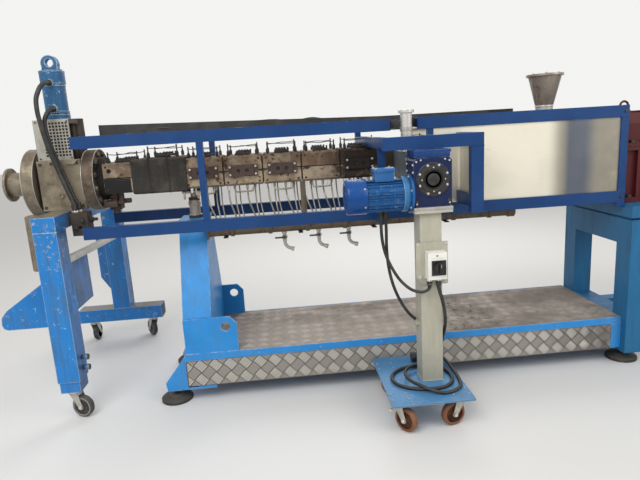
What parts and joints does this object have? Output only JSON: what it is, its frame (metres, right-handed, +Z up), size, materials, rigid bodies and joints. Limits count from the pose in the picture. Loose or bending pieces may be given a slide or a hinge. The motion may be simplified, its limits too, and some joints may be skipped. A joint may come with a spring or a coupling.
{
  "type": "plastic extruder",
  "caption": "Twin-screw plastic extruder with heated barrel, drive unit, guard rails, die head on a wheeled stand and a side feeder on a wheeled dolly.",
  "frame": {"origin": "on the floor below the middle of the whole machine", "axes": "+X along the barrel from the die head to the drive, -Y towards the operator's side with the side feeder, +Z up"},
  "size_m": [5.1546, 1.8006, 1.9863],
  "materials": {
    "azure_paint": "glossy azure paint, chipped and smeared",
    "drive_paint": "satin teal-blue paint",
    "guard_paint": "satin dark cobalt paint",
    "deck_steel": "worn and dirty tread plate",
    "skirt_steel": "bare tread plate",
    "pad_rubber": "matt black",
    "dark_steel": "oiled, dark and rusty",
    "heater_bronze": "heat-tinted, rusty towards the middle",
    "cover_brown": "dull purple-brown",
    "wrap_cloth": "dusty woven cloth",
    "bare_steel": "bare",
    "head_steel": "worn, stained beige-grey",
    "actuator_paint": "satin blue",
    "black_rubber": "satin black",
    "duct_black": "matt",
    "manifold_brown": "dull, stained",
    "tube_pale": "satin",
    "feeder_paint": "satin grey-blue",
    "gearbox_paint": "satin navy",
    "motor_paint": "satin bright blue",
    "post_paint": "satin beige-grey",
    "switch_white": "satin white",
    "knob_black": "satin black",
    "dolly_paint": "scuffed light blue",
    "gear_red": "satin dark red",
    "guard_yellow": "satin yellow",
    "drive_motor_grey": "satin grey-blue",
    "zinc": "zinc plated",
    "wheel_brown": "dull red-brown",
    "wheel_dark": "dull dark grey"
  },
  "bodies": {
    "machine": {"base_frame": "azure_paint", "deck_plate": "deck_steel", "deck_edges": "azure_paint", "skirt_plates": "skirt_steel", "levelling_pads": "pad_rubber", "barrel_pedestal": "azure_paint", "pedestal_lugs": "azure_paint", "barrel_jack": "dark_steel", "drive_frame": "drive_paint", "gear_unit": "gear_red", "coupling_guard": "guard_yellow", "main_motor": "drive_motor_grey", "barrel": "dark_steel", "heater_shells": "heater_bronze", "terminal_covers": "cover_brown", "insulation_wrap": "wrap_cloth", "feed_pipe": "bare_steel", "feed_hopper": "bare_steel", "die_head": "head_steel", "head_outlet": "head_steel", "perforated_cover": "bare_steel", "actuator_yoke": "dark_steel", "actuator": "actuator_paint", "actuator_hoses": "black_rubber", "hose_block": "dark_steel", "stand_front_leg": "azure_paint", "stand_rear_frame": "azure_paint", "stand_side_arm": "azure_paint", "guard_front_frame": "guard_paint", "guard_rear_frame": "guard_paint", "guard_panels": "bare_steel", "guard_bump_out": "guard_paint", "cable_duct": "duct_black", "cooling_manifold": "manifold_brown", "cooling_valves": "bare_steel", "cooling_tubes": "tube_pale", "side_feeder": "feeder_paint", "feeder_gearbox": "gearbox_paint", "feeder_motor": "motor_paint", "feeder_post": "post_paint", "switch_box": "switch_white", "dolly_plate": "dolly_paint", "motor_cables": "black_rubber", "supply_cable": "black_rubber", "supply_plug": "knob_black"},
    "dolly_swivel_1": {"dolly_fork_1": "zinc"},
    "dolly_roller_1": {"dolly_wheel_1": "wheel_brown"},
    "dolly_swivel_2": {"dolly_fork_2": "zinc"},
    "dolly_roller_2": {"dolly_wheel_2": "wheel_brown"},
    "dolly_swivel_3": {"dolly_fork_3": "zinc"},
    "dolly_roller_3": {"dolly_wheel_3": "wheel_brown"},
    "dolly_swivel_4": {"dolly_fork_4": "zinc"},
    "dolly_roller_4": {"dolly_wheel_4": "wheel_brown"},
    "stand_swivel_1": {"stand_fork_1": "zinc"},
    "stand_roller_1": {"stand_wheel_1": "wheel_dark"},
    "stand_swivel_2": {"stand_fork_2": "zinc"},
    "stand_roller_2": {"stand_wheel_2": "wheel_dark"},
    "stand_swivel_3": {"stand_fork_3": "zinc"},
    "stand_roller_3": {"stand_wheel_3": "wheel_dark"},
    "knob": {"switch_knob": "knob_black"}
  },
  "joints": [
    {"name": "dolly_swivel_1", "type": "hinge", "parent": "machine", "child": "dolly_swivel_1", "pos_m": [-0.47475, -0.81525, 0.15], "axis": [0, 0, 1], "continuous": true},
    {"name": "dolly_spin_1", "type": "hinge", "parent": "dolly_swivel_1", "child": "dolly_roller_1", "pos_m": [-0.45032, -0.84436, 0.0625], "axis": [0.766, 0.6428, 0], "continuous": true},
    {"name": "dolly_swivel_2", "type": "hinge", "parent": "machine", "child": "dolly_swivel_2", "pos_m": [-0.16975, -0.81525, 0.15], "axis": [0, 0, 1], "continuous": true},
    {"name": "dolly_spin_2", "type": "hinge", "parent": "dolly_swivel_2", "child": "dolly_roller_2", "pos_m": [-0.20645, -0.82508, 0.0625], "axis": [0.2588, -0.9659, 0], "continuous": true},
    {"name": "dolly_swivel_3", "type": "hinge", "parent": "machine", "child": "dolly_swivel_3", "pos_m": [-0.47475, -0.45625, 0.15], "axis": [0, 0, 1], "continuous": true},
    {"name": "dolly_spin_3", "type": "hinge", "parent": "dolly_swivel_3", "child": "dolly_roller_3", "pos_m": [-0.44184, -0.47525, 0.0625], "axis": [0.5, 0.866, 0], "continuous": true},
    {"name": "dolly_swivel_4", "type": "hinge", "parent": "machine", "child": "dolly_swivel_4", "pos_m": [-0.16975, -0.45625, 0.15], "axis": [0, 0, 1], "continuous": true},
    {"name": "dolly_spin_4", "type": "hinge", "parent": "dolly_swivel_4", "child": "dolly_roller_4", "pos_m": [-0.15075, -0.42334, 0.0625], "axis": [-0.866, 0.5, 0], "continuous": true},
    {"name": "stand_swivel_1", "type": "hinge", "parent": "machine", "child": "stand_swivel_1", "pos_m": [-2.21975, -0.36725, 0.157], "axis": [0, 0, 1], "continuous": true},
    {"name": "stand_spin_1", "type": "hinge", "parent": "stand_swivel_1", "child": "stand_roller_1", "pos_m": [-2.18361, -0.37899, 0.0625], "axis": [0.309, 0.9511, 0], "continuous": true},
    {"name": "stand_swivel_2", "type": "hinge", "parent": "machine", "child": "stand_swivel_2", "pos_m": [-2.04725, 0.79975, 0.157], "axis": [0, 0, 1], "continuous": true},
    {"name": "stand_spin_2", "type": "hinge", "parent": "stand_swivel_2", "child": "stand_roller_2", "pos_m": [-2.06905, 0.83088, 0.0625], "axis": [-0.8192, -0.5736, 0], "continuous": true},
    {"name": "stand_swivel_3", "type": "hinge", "parent": "machine", "child": "stand_swivel_3", "pos_m": [-2.49225, 0.79975, 0.157], "axis": [0, 0, 1], "continuous": true},
    {"name": "stand_spin_3", "type": "hinge", "parent": "stand_swivel_3", "child": "stand_roller_3", "pos_m": [-2.49225, 0.83775, 0.0625], "axis": [-1, 0, 0], "continuous": true},
    {"name": "switch_turn", "type": "hinge", "parent": "machine", "child": "knob", "pos_m": [-0.24075, -0.74155, 0.8], "axis": [0, 1, 0], "range_deg": [0, 90]}
  ]
}
